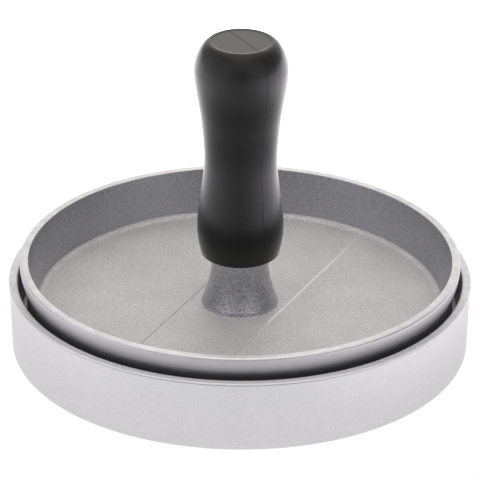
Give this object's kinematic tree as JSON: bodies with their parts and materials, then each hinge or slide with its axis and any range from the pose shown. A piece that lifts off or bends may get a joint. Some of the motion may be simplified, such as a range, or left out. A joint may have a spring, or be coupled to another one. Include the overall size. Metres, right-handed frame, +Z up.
{
  "type": "patty press",
  "caption": "Round cast burger press: a mould dish with an inner ledge and a drop-in dished plate, pushed down by a waisted soft-grip handle on a flared boss.",
  "frame": {"origin": "centre of the mould's foot ring, on the surface that the press stands on", "axes": "+Z up along the handle, the way the press lifts; the parts are round, and +X is to the right of someone looking at the front along +Y"},
  "size_m": [0.127, 0.127, 0.0913],
  "materials": {
    "mould_casting": "bead-blasted satin with a fine sparkling grain",
    "plate_casting": "bead-blasted satin, a little darker than the mould",
    "core_plastic": "glass-filled, matt",
    "soft_grip": "soft-touch, fine matt grain",
    "brass": "turned",
    "stainless_steel": "cold-headed, lightly polished",
    "cover_plastic": "moulded, matt"
  },
  "bodies": {
    "mould": {"base_mould": "mould_casting"},
    "press": {"press_plate": "plate_casting", "handle_core": "core_plastic", "handle_grip": "soft_grip", "threaded_insert": "brass", "handle_screw": "stainless_steel", "lock_washer": "stainless_steel", "flat_washer": "stainless_steel", "screw_cover": "cover_plastic"}
  },
  "joints": [
    {"name": "press_lift", "type": "slide", "parent": "mould", "child": "press", "axis": [0, 0, 1], "range_m": [0, 0.08]}
  ]
}
